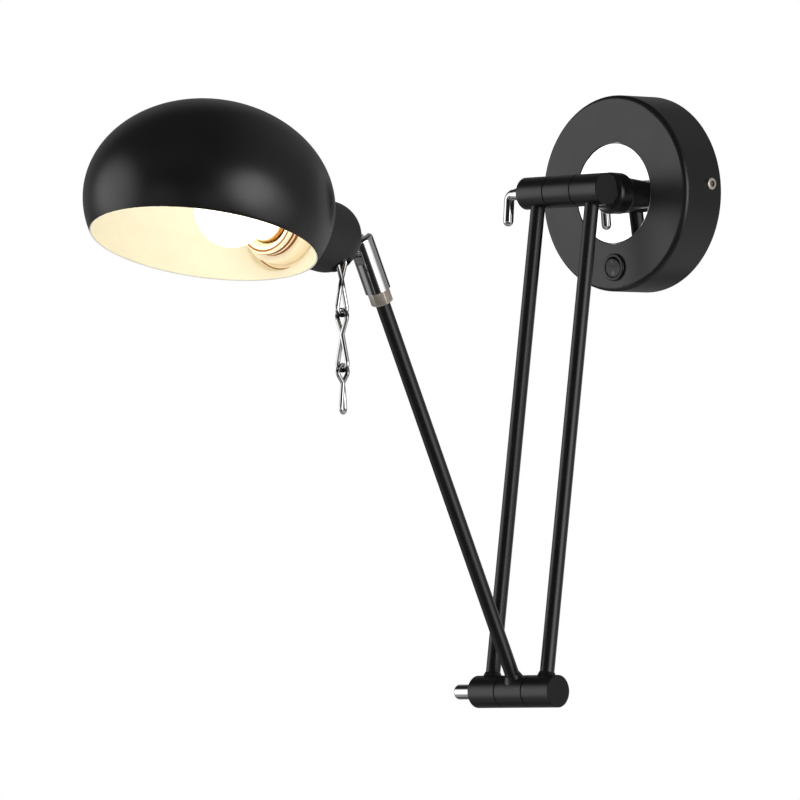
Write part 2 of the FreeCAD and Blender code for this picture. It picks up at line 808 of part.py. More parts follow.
def bulb_globe():
    def half_outline(radius, neck):
        """Points down one side: the end of the neck, where it meets the globe, the side and the front."""
        meet = bulb_reach - math.sqrt(radius ** 2 - neck ** 2)
        slant = math.atan2(neck, bulb_reach - meet)
        middle = (math.pi - slant) / 2
        crown = point(0, -bulb_reach - radius, 0)
        side = point(radius * math.sin(middle), -bulb_reach - radius * math.cos(middle), 0)
        return point(neck, -neck_reach, 0), point(neck, -meet, 0), side, crown
    neck = cap_radius - cap_wall - running_clear
    outer = half_outline(bulb_radius, neck)
    inner = half_outline(bulb_radius - bulb_wall, neck - bulb_wall)
    profile = outline(outer[0], outer[1], (outer[2], outer[3]), inner[3], (inner[2], inner[1]), inner[0])
    return spun(profile, ORIGIN, Y_AXIS)


# Pull chain, in the chain's frame with its line along Z and the eyelet at the origin
def loop(length, radius, way, turn):
    """One side of a link: a round end and two straight wires that meet at the waist at the origin."""
    middle = length - wire_radius - radius
    half = math.asin(radius / middle)
    reach = math.sqrt(middle ** 2 - radius ** 2)
    centre = point(0, 0, middle)
    pieces = [Part.makeSphere(wire_radius, ORIGIN)]
    for side in (-1, 1):
        along = point(0, side * math.sin(half), math.cos(half))
        pieces.append(rod(wire_radius, reach, ORIGIN, along))
    start = point(0, reach * math.sin(half), reach * math.cos(half))
    tangent = point(0, math.sin(half), math.cos(half))
    ring = Part.Face(Part.Wire([Part.Circle(start, tangent, wire_radius).toShape()]))
    pieces.append(ring.revolve(centre, X_AXIS, 180 + 2 * math.degrees(half)))
    shape = pieces[0].multiFuse(pieces[1:]).removeSplitter()
    where = frame(ORIGIN, Z_AXIS, turn)
    if way < 0:
        where = where.multiply(frame(ORIGIN, Y_AXIS, 180))
    return placed(shape, where)


def link(upper, upper_radius, lower, lower_radius, turn, twist):
    """Link with its waist at the origin."""
    body = loop(upper, upper_radius, 1, turn).fuse(loop(lower, lower_radius, -1, turn + twist))
    return body.removeSplitter()


first_waist = -waist_drop
second_top = first_waist - lower_loop + wire + link_step
second_waist = second_top - upper_loop
end_top = second_waist - lower_loop + wire + link_step
end_waist = end_top - end_upper_loop
first_top = first_waist + eye_loop


def pull_link():
    body = link(eye_loop, eye_loop_radius, lower_loop, loop_radius, 0, 0)
    return placed(body, frame(point(0, 0, first_waist)))


def chain_link():
    body = link(upper_loop, loop_radius, lower_loop, loop_radius, 90, 0)
    return placed(body, frame(point(0, 0, second_waist)))


def end_link():
    body = link(end_upper_loop, loop_radius, end_lower_loop, end_loop_radius, 0, end_loop_turn)
    return placed(body, frame(point(0, 0, end_waist)))


plunger_foot = first_top + loose_clear + yoke_roof
plunger_length = pull_travel + plunger_hold


def pull_plunger():
    bar_height = first_top - wire - loose_clear - yoke_bar_radius
    half = yoke_width / 2
    bar = rod(yoke_bar_radius, yoke_width, point(-half, 0, bar_height), X_AXIS)
    body = rod(plunger_radius, plunger_length, point(0, 0, plunger_foot), Z_AXIS)
    roof = block(point(-half, -yoke_cheek, first_top + loose_clear), point(half, yoke_cheek, plunger_foot))
    body = body.fuse(roof).fuse(bar)
    for side in (-1, 1):
        inner = side * (half - yoke_cheek)
        outer = side * half
        low = point(min(inner, outer), -yoke_cheek, bar_height)
        body = body.fuse(block(low, point(max(inner, outer), yoke_cheek, plunger_foot)))
    return body.removeSplitter()


def pull_switch():
    """Switch on the back of the lamp holder, with an upright bore for the plunger, in the shade's frame."""
    to_shade = shade_frame.inverse().multiply(chain_frame)
    floor = to_shade.multVec(point(0, 0, plunger_foot + 2 * loose_clear))
    half = pull_switch_width / 2
    low = point(floor.x - half, -holder_back, floor.z)
    high = point(floor.x + half, -holder_back + pull_switch_depth, floor.z + pull_switch_height)
    depth = plunger_length + loose_clear
    bore = rod(plunger_radius + running_clear, depth, point(0, 0, plunger_foot), Z_AXIS)
    return block(low, high).cut(placed(bore, to_shade))


# Wall base
save("wall_bracket", wall_frame, wall_bracket())
save("earth_screw", wall_frame, earth_screw())
save("terminal_block", wall_frame, terminal_block())
save("canopy_cover", wall_frame, canopy_cover())
save("side_screws", wall_frame, side_screw(-1), side_screw(1))
save("mirror_disc", wall_frame, mirror_disc())
save("disc_studs", wall_frame, *disc_studs())
save("disc_nuts", wall_frame, *disc_nuts())
save("swivel_collar", wall_frame, swivel_collar())
save("switch_body", switch_frame, switch_body())
save("switch_nut", switch_frame, switch_nut())
save("switch_blades", switch_frame, *switch_blades())
save("rocker_pin", switch_frame, rocker_axle(rocker_pin_radius))
save("switch_rocker", switch_frame, switch_rocker())

# Swivel post
save("swivel_post", wall_frame, swivel_post())
save("friction_washer", wall_frame, friction_washer())
save("spring_washer", wall_frame, spring_washer())
save("stem_nut", wall_frame, stem_nut())
save("upper_hub", frame(point(0, -shoulder_reach, 0)), upper_hub())

# Twin arms
lower_frame = arm_frame.multiply(frame(point(0, 0, -arm_length)))
for side, name in ((-1, "left"), (1, "right")):
    save("upper_" + name + "_knuckle", arm_frame, knuckle(side, -1, False))
    save(name + "_tube", arm_frame, straight_tube(side * knuckle_middle, tube_seat - arm_length, twin_length))
    save("lower_" + name + "_knuckle", lower_frame, knuckle(side, 1, True))
for name, where in (("upper", arm_frame), ("lower", lower_frame)):
    save(name + "_clamp_bolt", where, clamp_bolt())
    save(name + "_washers", where, *barrel_washers())
save("upper_lever", frame(point(0, -shoulder_reach, 0), X_AXIS, -lever_lean), clamp_lever())
save("lower_knob", lower_frame, clamp_knob())

# Fore arm
save("lower_hub", fore_frame, lower_hub())
save("fore_tube", fore_frame, straight_tube(0, tube_seat, fore_end - tube_seat))
save("lock_nut", fore_frame.multiply(frame(ORIGIN, Z_AXIS, lock_nut_turn)), lock_nut())

# Head
save("clevis", head_frame, clevis())
save("tilt_pin", head_frame, tilt_pin())
save("tongue", shade_frame, tongue())
save("tongue_nut", shade_frame, tongue_nut())
save("socket_cup", shade_frame, socket_cup())
save("shade", shade_frame, shade())
save("clamp_ring", shade_frame, clamp_ring())
save("lamp_holder", shade_frame, lamp_holder())
save("screw_shell", shade_frame, screw_shell())
save("centre_contact", shade_frame, centre_contact())
save("bulb_tip", shade_frame, bulb_tip())
save("bulb_cap", shade_frame, bulb_cap())
save("bulb_globe", shade_frame, bulb_globe())
save("pull_switch", shade_frame, pull_switch())
save("pull_eyelet", shade_frame, pull_eyelet())

# Pull chain
save("pull_plunger", chain_frame, pull_plunger())
save("pull_link", chain_frame, pull_link())
save("chain_link", chain_frame, chain_link())
save("end_link", chain_frame, end_link())
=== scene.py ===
"""Looks of a swing arm wall lamp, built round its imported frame.

Metres, in the frame's own axes: the wall is the plane y = 0, the lamp stands out along -Y,
X is to the right and Z is up.
"""
import logging
import math
from collections.abc import Callable, Sequence
from dataclasses import dataclass, field
from enum import Enum
from typing import ClassVar, Protocol

import bpy
from mathutils import Matrix, Vector


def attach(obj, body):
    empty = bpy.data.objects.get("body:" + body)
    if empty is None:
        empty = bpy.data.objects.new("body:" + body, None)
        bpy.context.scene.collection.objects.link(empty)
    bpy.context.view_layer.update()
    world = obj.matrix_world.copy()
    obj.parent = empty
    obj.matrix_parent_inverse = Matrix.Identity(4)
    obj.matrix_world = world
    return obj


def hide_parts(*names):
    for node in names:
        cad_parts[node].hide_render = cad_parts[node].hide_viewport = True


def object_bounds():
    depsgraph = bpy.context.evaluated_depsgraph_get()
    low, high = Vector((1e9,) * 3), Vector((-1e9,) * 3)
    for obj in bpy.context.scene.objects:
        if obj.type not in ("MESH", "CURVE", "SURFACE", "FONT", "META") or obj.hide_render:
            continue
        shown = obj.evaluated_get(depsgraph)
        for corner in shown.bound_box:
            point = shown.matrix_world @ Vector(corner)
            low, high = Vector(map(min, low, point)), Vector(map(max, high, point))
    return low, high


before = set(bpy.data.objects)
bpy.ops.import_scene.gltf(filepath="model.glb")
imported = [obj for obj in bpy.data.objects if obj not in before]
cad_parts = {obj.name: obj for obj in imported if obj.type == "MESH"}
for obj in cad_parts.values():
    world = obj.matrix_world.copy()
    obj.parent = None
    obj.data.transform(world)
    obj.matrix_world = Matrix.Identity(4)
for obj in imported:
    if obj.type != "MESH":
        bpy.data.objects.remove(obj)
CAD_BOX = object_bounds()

LOG = logging.getLogger("wall_lamp")

Colour = tuple[float, float, float]
Pair = tuple[float, float]
Groove = tuple[float, float, float]
Socket = bpy.types.NodeSocket
Material = bpy.types.Material
Test = Callable[[Vector], bool]


class Element(Enum):
    """What edit mode selects."""

    VERTEX = "VERT"
    FACE = "FACE"


class Slot(Enum):
    """The record's material slots, named when new pieces are handed over."""

    BLACK_PAINT = "black_paint"
    NICKEL = "nickel"
    BLACK_PLASTIC = "black_plastic"
    HOLDER_PLASTIC = "holder_plastic"


def turn(axis: str, degrees: float) -> Matrix:
    """Rotation by an angle in degrees about a main axis."""
    return Matrix.Rotation(math.radians(degrees), 4, axis)


def shift(x: float, y: float, z: float) -> Matrix:
    """Move by a distance along each axis."""
    return Matrix.Translation((x, y, z))


@dataclass(frozen=True)
class RestPose:
    """Angles in degrees and reaches that place the lamp's frames at rest."""

    shoulder_reach: float = 0.075
    arm_length: float = 0.312
    pin_reach: float = 0.2995
    arm_lean: float = 9.0
    fore_lean: float = 26.0
    head_turn: float = 7.0
    socket_rise: float = 8.4

    def arm(self) -> Matrix:
        """Frame of the twin arms, with the upper barrel along X at its origin."""
        return shift(0, -self.shoulder_reach, 0) @ turn("X", -self.arm_lean)

    def fore(self) -> Matrix:
        """Frame of the fore arm, with the lower barrel at its origin and the tube along Z."""
        elbow = self.arm() @ Vector((0, 0, -self.arm_length))
        return Matrix.Translation(elbow) @ turn("X", self.fore_lean)

    def head(self) -> Matrix:
        """Frame of the clevis, with the tilt pin along X at its origin."""
        return self.fore() @ shift(0, 0, self.pin_reach) @ turn("Z", self.head_turn)

    def socket(self) -> Matrix:
        """Frame of the lamp head, with the tilt pin at its origin and the socket along -Y."""
        return self.head() @ turn("X", -(self.fore_lean + self.socket_rise))


REST = RestPose()


class Nodes:
    """One node tree, with short calls that add nodes and join them.

    Most of a noise's values lie in noise_middle. The mix node's colour sockets go by their numbers.
    """

    noise_middle: ClassVar[Pair] = (0.3, 0.7)
    mix_first: ClassVar[int] = 6
    mix_second: ClassVar[int] = 7
    mix_result: ClassVar[int] = 2

    def __init__(self, tree: bpy.types.NodeTree, material: Material | None = None) -> None:
        """Empty a tree.

        Args:
            tree: The tree.
            material: The material that it belongs to, if any.
        """
        self.tree = tree
        self.material = material
        tree.nodes.clear()

    @classmethod
    def of_material(cls, name: str) -> "Nodes":
        """Start a new material's tree.

        Args:
            name: The material's name.

        Returns:
            The emptied tree of the new material.
        """
        material = bpy.data.materials.new(name)
        material.use_nodes = True
        return cls(material.node_tree, material)

    def add(self, kind: str, inputs: dict[str | int, object] | None = None, **settings: object) -> bpy.types.Node:
        """Add one node.

        Args:
            kind: The node's type.
            inputs: A value or an output socket for each named or numbered input.
            **settings: The node's own properties.

        Returns:
            The new node.
        """
        node = self.tree.nodes.new(kind)
        for name, value in settings.items():
            setattr(node, name, value)
        for name, value in (inputs or {}).items():
            if isinstance(value, Socket):
                self.tree.links.new(value, node.inputs[name])
            else:
                node.inputs[name].default_value = value
        return node

    def place(self) -> Socket:
        """Object coordinates."""
        return self.add("ShaderNodeTexCoord").outputs["Object"]

    def noise(self, where: Socket, scale: float, detail: float = 2.0) -> Socket:
        """Noise from 0 to 1 with features of about one over the scale, in metres."""
        inputs = {"Vector": where, "Scale": scale, "Detail": detail}
        return self.add("ShaderNodeTexNoise", inputs).outputs["Fac"]

    def span(self, value: Socket, low: float, high: float) -> Socket:
        """Spread the middle of a noise from a low to a high value.

        Args:
            value: The noise.
            low: The lowest result.
            high: The highest result.

        Returns:
            The result's socket.
        """
        start, end = self.noise_middle
        inputs = {"Value": value, "From Min": start, "From Max": end, "To Min": low, "To Max": high}
        return self.add("ShaderNodeMapRange", inputs).outputs["Result"]

    def mix(self, share: Socket, first: object, second: object) -> Socket:
        """Colour between two colours or colour sockets."""
        inputs = {"Factor": share, self.mix_first: first, self.mix_second: second}
        return self.add("ShaderNodeMix", inputs, data_type="RGBA").outputs[self.mix_result]

    def tones(self, share: Socket, colour: Colour, factors: Pair) -> Socket:
        """Colour that varies between two shades of itself."""
        return self.mix(share, *(shade_of(colour, factor) for factor in factors))

    def bump(self, height: Socket, depth: float) -> Socket:
        """Normal of a surface with a relief of some depth in metres."""
        inputs = {"Height": height, "Strength": 1.0, "Distance": depth}
        return self.add("ShaderNodeBump", inputs).outputs["Normal"]

    def surface(self, **inputs: object) -> Material:
        """Add the surface shader and join it to the output.

        Args:
            **inputs: A value or an output socket for each input, with _ for each space in its name.

        Returns:
            The finished material.
        """
        named = {name.replace("_", " "): value for name, value in inputs.items()}
        shader = self.add("ShaderNodeBsdfPrincipled", named)
        self.add("ShaderNodeOutputMaterial", {"Surface": shader.outputs[0]})
        return self.material


class Finish(Protocol):
    """Whatever can be built into a material.

    Its scales are in features per metre, its reliefs in metres, and its tones in shares of its colour.
    """

    def material(self) -> Material:
        """Build the material."""


def mixed(finish: Finish) -> Material:
    """A finish's entry in a book of finishes, built when the book is made."""
    return field(default_factory=finish.material)


def shade_of(colour: Colour, factor: float) -> tuple[float, float, float, float]:
    """A lighter or darker shade of a colour, as node sockets take it."""
    return (*(min(1.0, part * factor) for part in colour), 1.0)


@dataclass(frozen=True)
class SatinPaint:
    """Sprayed paint: orange peel in the surface, and a sheen and depth that vary a little."""

    name: str
    colour: Colour
    roughness: float
    peel: float = 0.000004
    specular: float = 0.6
    cloud_scale: float = 45
    speckle_scale: float = 1600
    peel_scale: float = 700
    tones: Pair = (0.85, 1.15)
    speckle_tone: float = 1.3
    sheen: float = 0.03

    def material(self) -> Material:
        """Build the paint.

        Returns:
            The paint's material.
        """
        nodes = Nodes.of_material(self.name)
        where = nodes.place()
        cloud = nodes.noise(where, self.cloud_scale, detail=3)
        speckle = nodes.noise(where, self.speckle_scale)
        tint = nodes.tones(cloud, self.colour, self.tones)
        return nodes.surface(
            Base_Color=nodes.mix(speckle, tint, shade_of(self.colour, self.speckle_tone)),
            Roughness=nodes.span(cloud, self.roughness - self.sheen, self.roughness + self.sheen),
            Specular_IOR_Level=self.specular,
            Normal=nodes.bump(nodes.noise(where, self.peel_scale), self.peel),
        )


@dataclass(frozen=True)
class PlatedMetal:
    """Plated or bare metal: fine polishing lines, and a few dull places where it is handled."""

    name: str
    colour: Colour
    roughness: float
    dulling: float = 0.04
    lines: float = 0.0000005
    smear_scale: float = 120
    line_scale: float = 2500
    tones: Pair = (0.94, 1.04)

    def material(self) -> Material:
        """Build the metal.

        Returns:
            The metal's material.
        """
        nodes = Nodes.of_material(self.name)
        where = nodes.place()
        smear = nodes.noise(where, self.smear_scale, detail=3)
        return nodes.surface(
            Base_Color=nodes.tones(smear, self.colour, self.tones),
            Metallic=1.0,
            Roughness=nodes.span(smear, self.roughness, self.roughness + self.dulling),
            Normal=nodes.bump(nodes.noise(where, self.line_scale, detail=3), self.lines),
        )


@dataclass(frozen=True)
class ShadedLinkPlate:
    """Chrome of a chain link, with painted shade: dark bands at given heights, where it meets the next link and below
    the cup.
    """

    name: str
    colour: Colour
    # Dark colour of the painted shade in the given bands
    painted_shade: Colour
    top: float
    foot: float
    shade_spots: tuple[Pair, ...]
    edge: float = 0.003
    smear_scale: float = 400
    sheen: Pair = (0.07, 0.14)

    def material(self) -> Material:
        """Build the plating, with the painted shade between heights at rest.

        Returns:
            The link's material.
        """
        nodes = Nodes.of_material(self.name)
        where = nodes.place()
        height = nodes.add("ShaderNodeSeparateXYZ", {0: where}).outputs["Z"]
        share = nodes.add("ShaderNodeMapRange", {"Value": height, "From Min": self.foot, "From Max": self.top})
        ramp = nodes.add("ShaderNodeValToRGB", {"Fac": share.outputs["Result"]})
        stops = ramp.color_ramp.elements
        stops[0].color = stops[1].color = shade_of(self.colour, 1.0)
        for low, high in self.shade_spots:
            for place, colour in ((low - self.edge, self.colour), (low, self.painted_shade),
                                  (high, self.painted_shade), (high + self.edge, self.colour)):
                stop = stops.new(min(1.0, max(0.0, (place - self.foot) / (self.top - self.foot))))
                stop.color = shade_of(colour, 1.0)
        return nodes.surface(
            Base_Color=ramp.outputs["Color"],
            Metallic=1.0,
            Roughness=nodes.span(nodes.noise(where, self.smear_scale), *self.sheen),
        )


@dataclass(frozen=True)
class MouldedPlastic:
    """Moulded plastic: a fine spark-eroded grain and a slightly uneven colour, and painted light where it is given a
    glow.
    """

    name: str
    colour: Colour
    roughness: float
    grain: float = 0.000004
    # Painted light: an emission that makes a part that is no lamp glow
    glow: Colour = (0.0, 0.0, 0.0)
    cloud_scale: float = 90
    grain_scale: float = 2200
    tones: Pair = (0.93, 1.05)
    sheen: float = 0.05

    def material(self) -> Material:
        """Build the plastic.

        Returns:
            The plastic's material.
        """
        nodes = Nodes.of_material(self.name)
        where = nodes.place()
        cloud = nodes.noise(where, self.cloud_scale)
        return nodes.surface(
            Base_Color=nodes.tones(cloud, self.colour, self.tones),
            Roughness=nodes.span(cloud, self.roughness - self.sheen, self.roughness + self.sheen),
            # Painted light wherever the glow is not black
            Emission_Color=(*self.glow, 1.0),
            Emission_Strength=1.0,
            Normal=nodes.bump(nodes.noise(where, self.grain_scale), self.grain),
        )


@dataclass(frozen=True)
class LitGlass:
    """Frosted glass of a lamp that is on."""

    name: str
    colour: Colour
    glow: Colour
    strength: float
    frost_scale: float = 3000
    frost: float = 0.000002
    tones: Pair = (0.97, 1.0)
    sheen: Pair = (0.3, 0.45)

    def material(self) -> Material:
        """Build the glass.

        Returns:
            The glass's material.
        """
        nodes = Nodes.of_material(self.name)
        frost = nodes.noise(nodes.place(), self.frost_scale)
        return nodes.surface(
            Base_Color=nodes.tones(frost, self.colour, self.tones),
            Roughness=nodes.span(frost, *self.sheen),
            Emission_Color=(*self.glow, 1.0),
            Emission_Strength=self.strength,
            Normal=nodes.bump(frost, self.frost),
        )


@dataclass
class FinishBook:
    """Every finish of the lamp, built once."""

    paint: Material = mixed(SatinPaint("satin_black_paint", (0.0048, 0.0045, 0.0045), roughness=0.31))
    lining: Material = mixed(SatinPaint("cream_lining", (0.88, 0.83, 0.70), roughness=0.5))
    chrome: Material = mixed(PlatedMetal("bright_chrome", (0.82, 0.82, 0.83), roughness=0.07))
    black_chrome: Material = mixed(PlatedMetal("black_chrome", (0.035, 0.035, 0.038), roughness=0.2, dulling=0.06))
    mirror: Material = mixed(PlatedMetal("mirror_plate", (0.94, 0.94, 0.94), roughness=0.01, dulling=0.01, lines=0.0))
    nickel: Material = mixed(PlatedMetal("dark_nickel", (0.80, 0.71, 0.62), roughness=0.42, dulling=0.08))
    screw_steel: Material = mixed(PlatedMetal("screw_steel", (0.88, 0.82, 0.75), roughness=0.34, dulling=0.06))
    # Painted shade for the hexagon sockets of the side screws
    socket_shade: Material = mixed(PlatedMetal("painted_socket_shade", (0.34, 0.29, 0.24), roughness=0.45, dulling=0.1))
    zinc: Material = mixed(PlatedMetal("zinc_steel", (0.58, 0.59, 0.60), roughness=0.34, dulling=0.12))
    brass: Material = mixed(PlatedMetal("plain_brass", (0.78, 0.57, 0.27), roughness=0.22, dulling=0.1))
    black_plastic: Material = mixed(MouldedPlastic("black_plastic", (0.010, 0.010, 0.011), roughness=0.34))
    cup_plastic: Material = mixed(MouldedPlastic("matt_black_plastic", (0.021, 0.020, 0.021), roughness=0.5))
    # Painted light: the cream plastic's glow brightens the holder, the clamp ring and the disc on the shade's seat
    cream_plastic: Material = mixed(MouldedPlastic("cream_plastic", (0.92, 0.84, 0.68), roughness=0.35,
                                                   glow=(0.27, 0.22, 0.13)))
    # Painted shade: dark brown for the holder's grooves, the clamp ring's foot and the line round the shade's seat,
    # with a faint glow of painted light
    painted_shade_brown: Material = mixed(MouldedPlastic("painted_shade_brown", (0.40, 0.17, 0.055), roughness=0.4,
                                                   glow=(0.04, 0.014, 0.002)))
    cap_metal: Material = mixed(PlatedMetal("warm_cap", (0.62, 0.36, 0.16), roughness=0.34, dulling=0.1))
    clear_plastic: Material = mixed(MouldedPlastic("terminal_plastic", (0.78, 0.78, 0.74), roughness=0.45))
    print_ink: Material = mixed(MouldedPlastic("switch_print", (0.16, 0.16, 0.17), roughness=0.5))
    glass: Material = mixed(LitGlass("lit_frosted_glass", (0.95, 0.93, 0.88), glow=(1.0, 0.90, 0.70), strength=2.3))


def dress(finish: Material, *nodes: str) -> None:
    """Give carried-over nodes their finish.

    Args:
        finish: The material.
        *nodes: Names of the frame's nodes.
    """
    for name in nodes:
        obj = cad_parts[name]
        if not obj.material_slots:
            obj.data.materials.append(finish)
        for slot in obj.material_slots:
            slot.material = finish
        LOG.info("dressed %s in %s", name, finish.name)


class Piece:
    """A new mesh piece: a primitive that operators shape and that is then handed to a body."""

    merge_distance: ClassVar[float] = 0.000002
    smooth_angle: ClassVar[float] = math.radians(32)

    def __init__(self, obj: bpy.types.Object, name: str) -> None:
        """Take an object, and name it and its mesh."""
        self.obj = obj
        obj.name = obj.data.name = name

    @classmethod
    def added(cls, name: str, primitive: Callable[..., set[str]], **sizes: object) -> "Piece":
        """Add a primitive at its size.

        Args:
            name: The piece's name.
            primitive: The operator that adds it.
            **sizes: The operator's own settings.

        Returns:
            The new piece.
        """
        bpy.ops.object.select_all(action="DESELECT")
        primitive(**sizes)
        piece = cls(bpy.context.active_object, name)
        bpy.ops.object.transform_apply(location=True, rotation=True, scale=True)
        return piece

    @classmethod
    def turned(cls, name: str, profile: Sequence[Pair], sides: int = 96, hollow: bool = False) -> "Piece":
        """Turn a profile round Z: a ring that is extruded to each next ring.

        Args:
            name: The piece's name.
            profile: Radius and height of each ring. A hollow profile ends where it starts.
            sides: Vertices in each ring.
            hollow: Whether the profile runs round an open middle.

        Returns:
            The closed piece.
        """
        radius, height = profile[0]
        piece = cls.added(name, bpy.ops.mesh.primitive_circle_add, vertices=sides, radius=radius,
                          location=(0, 0, height), fill_type="NOTHING" if hollow else "NGON")
        piece.edit()
        for next_radius, next_height in profile[1:]:
            bpy.ops.mesh.extrude_region_move(TRANSFORM_OT_translate={"value": (0, 0, next_height - height)})
            share = next_radius / radius
            bpy.ops.transform.resize(value=(share, share, 1), center_override=(0, 0, next_height))
            radius, height = next_radius, next_height
        piece.close()
        return piece

    def close(self) -> None:
        """Merge points that meet and turn all faces outwards."""
        self.edit()
        bpy.ops.mesh.remove_doubles(threshold=self.merge_distance)
        bpy.ops.mesh.normals_make_consistent(inside=False)
        self.alone()

    def cut(self, tool: "Piece") -> None:
        """Cut another piece's shape away and drop that piece."""
        self.modify("BOOLEAN", object=tool.obj, operation="DIFFERENCE", solver="EXACT")
        bpy.data.objects.remove(tool.obj)

    def copy(self, name: str) -> "Piece":
        """Copy the piece, with its own mesh.

        Args:
            name: The copy's name.

        Returns:
            The copy.
        """
        self.alone()
        bpy.ops.object.duplicate(linked=False)
        return Piece(bpy.context.active_object, name)

    def join(self, other: "Piece") -> None:
        """Take another piece's mesh into this one.

        Args:
            other: The piece that is taken in.
        """
        self.alone()
        other.obj.select_set(True)
        bpy.ops.object.join()

    def paint(self, finish: Material, test: Test) -> None:
        """Give some faces one more finish.

        Args:
            finish: The material.
            test: Whether a face with this middle gets it.
        """
        self.obj.data.materials.append(finish)
        self.pick_faces(test)
        self.obj.active_material_index = len(self.obj.data.materials) - 1
        bpy.ops.object.material_slot_assign()
        self.alone()

    def alone(self) -> None:
        """Make this the only selected and the active object, in object mode."""
        if bpy.context.object and bpy.context.object.mode != "OBJECT":
            bpy.ops.object.mode_set(mode="OBJECT")
        bpy.ops.object.select_all(action="DESELECT")
        self.obj.select_set(True)
        bpy.context.view_layer.objects.active = self.obj

    def edit(self, kind: Element = Element.VERTEX) -> None:
        """Enter edit mode with everything selected.

        Args:
            kind: What is selected. Only the vertices' kind reaches an edge that has no face.
        """
        self.alone()
        bpy.ops.object.mode_set(mode="EDIT")
        bpy.ops.mesh.select_mode(type=kind.value)
        bpy.ops.mesh.select_all(action="SELECT")

    def pick_faces(self, test: Test) -> None:
        """Enter edit mode with some faces selected.

        Args:
            test: Whether a face with this middle is selected.
        """
        self.edit(Element.FACE)
        bpy.ops.mesh.select_all(action="DESELECT")
        bpy.ops.object.mode_set(mode="OBJECT")
        for face in self.obj.data.polygons:
            face.select = test(Vector(face.center))
        bpy.ops.object.mode_set(mode="EDIT")

    def bisect(self, point: Vector, normal: Vector) -> None:
        """Cut with a plane and drop one side.

        Args:
            point: A point of the plane.
            normal: The direction from the plane to the side that is dropped.
        """
        self.edit()
        bpy.ops.mesh.bisect(plane_co=point, plane_no=normal, clear_outer=True)
        self.alone()

    def reshape(self, moved: Callable[[Vector], Vector]) -> None:
        """Move every vertex to a new place.

        Args:
            moved: A vertex's new place for its old one.
        """
        self.alone()
        for vertex in self.obj.data.vertices:
            vertex.co = moved(vertex.co.copy())
        self.obj.data.update()

    def modify(self, kind: str, **settings: object) -> None:
        """Add a modifier and apply it.

        Args:
            kind: The modifier's type.
            **settings: Its properties.
        """
        self.alone()
        modifier = self.obj.modifiers.new(kind, kind)
        for name, value in settings.items():
            setattr(modifier, name, value)
        bpy.ops.object.modifier_apply(modifier=modifier.name)

    def put(self, place: Matrix) -> None:
        """Move the piece to its place, with the place in its mesh.

        Args:
            place: The frame that the piece's own axes go to.
        """
        self.alone()
        self.obj.matrix_world = place
        bpy.ops.object.transform_apply(location=True, rotation=True, scale=True)

    def hand_over(self, body: str, slot: Slot, *finishes: Material, stands_for: tuple[str, ...] = ()) -> None:
        """Smooth the piece, give it its finish and let it ride on a body.

        Args:
            body: The body's name.
            slot: The record's slot for its finish. Not used.
            *finishes: Its materials, where it has none yet.
            stands_for: The frame's nodes that it replaces.
        """
        self.alone()
        bpy.ops.object.shade_smooth_by_angle(angle=self.smooth_angle)
        for finish in finishes:
            self.obj.data.materials.append(finish)
        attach(self.obj, body)
        if stands_for:
            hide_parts(*stands_for)
        LOG.info("built %s on %s, %d faces", self.obj.name, body, len(self.obj.data.polygons))


@dataclass
class Canopy:
    """Wall base: the round cover with its mirror, and the bracket and fittings inside it."""

    book: FinishBook
    radius: float = 0.061
    screw_inset: float = 0.0098
    screw_rise: float = 0.0038
    screw_head: float = 0.00375
    screw_height: float = 0.0018
    screw_round: float = 0.0007
    screw_bed: float = 0.00015
    screw_shank: float = 0.002
    screw_length: float = 0.00435
    screw_steps: tuple[int, ...] = (0, 22, 45, 68, 90)
    screw_sides: int = 64
    hexagon: float = 0.0021
    hexagon_depth: float = 0.0012
    hexagon_margin: float = 0.00002

    def build_side_screws(self) -> None:
        """Two button heads with hexagon sockets, one on each side of the cover, with painted shade in the sockets."""
        top, edge = self.screw_height, self.screw_head - self.screw_round
        arc = [(edge + self.screw_round * math.cos(a), top - self.screw_round + self.screw_round * math.sin(a))
               for a in map(math.radians, self.screw_steps)]
        screw = Piece.turned("side_screws_dressed", [
            (self.screw_shank, -self.screw_length), (self.screw_shank, -self.screw_bed),
            (self.screw_head, -self.screw_bed), *arc], sides=self.screw_sides)
        floor = top - self.hexagon_depth
        screw.cut(Piece.turned("hexagon_tool", [(self.hexagon, floor), (self.hexagon, 2 * top)], sides=6))
        screw.obj.data.materials.append(self.book.screw_steel)
        # Painted shade: the hexagon socket's faces take a dark steel colour
        screw.paint(self.book.socket_shade, self.in_socket)
        twin = screw.copy("second_screw")
        for side, piece in ((1, screw), (-1, twin)):
            piece.put(shift(side * self.radius, -self.screw_inset, self.screw_rise) @ turn("Y", side * 90))
        screw.join(twin)
        screw.hand_over("wall_base", Slot.NICKEL, stands_for=("side_screws",))

    def in_socket(self, middle: Vector) -> bool:
        """Whether a point of the turned screw lies in its hexagon socket."""
        sunk = self.screw_height - middle.z
        return (math.hypot(middle.x, middle.y) < self.hexagon
                and self.hexagon_margin < sunk < self.hexagon_depth + self.hexagon_margin)

    def build(self) -> None:
        """Dress the wall base."""
        self.build_side_screws()
        dress(self.book.paint, "canopy_cover", "swivel_collar")
        dress(self.book.mirror, "mirror_disc")
        dress(self.book.zinc, "wall_bracket", "disc_studs", "disc_nuts")
        dress(self.book.brass, "earth_screw")
        dress(self.book.clear_plastic, "terminal_block")


